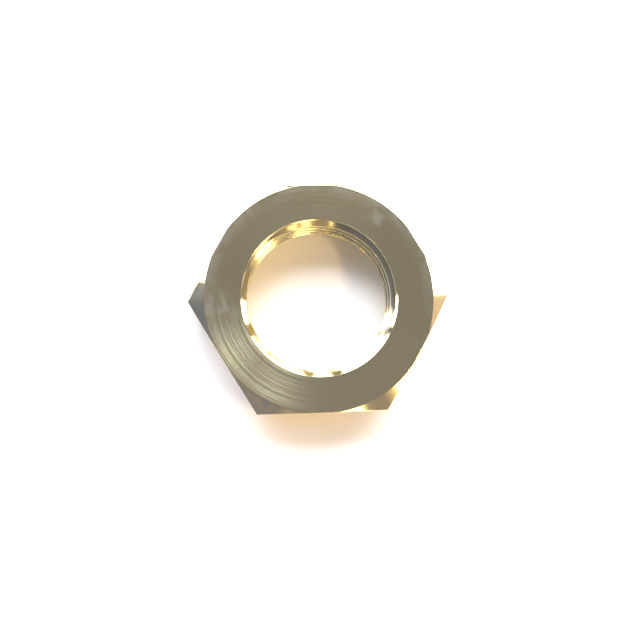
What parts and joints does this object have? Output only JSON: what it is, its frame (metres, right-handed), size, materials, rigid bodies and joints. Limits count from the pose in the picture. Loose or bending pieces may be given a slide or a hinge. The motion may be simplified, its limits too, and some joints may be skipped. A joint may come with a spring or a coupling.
{
  "type": "hex nut",
  "caption": "Thin hexagonal brass nut with chamfered corners, a round turned face and a countersunk internal pipe thread right through it.",
  "frame": {"origin": "centre of the bottom face, on the thread's axis", "axes": "+Z along the thread's axis, from the bottom face to the top face; +X towards a corner of the hexagon; +Y towards the middle of a flat"},
  "size_m": [0.0346, 0.03, 0.007],
  "materials": {
    "brass": "lathe-turned bright brass with fine concentric turning marks on the faces and drawn flats"
  },
  "bodies": {
    "root": {"hex_nut": "brass"}
  },
  "joints": []
}
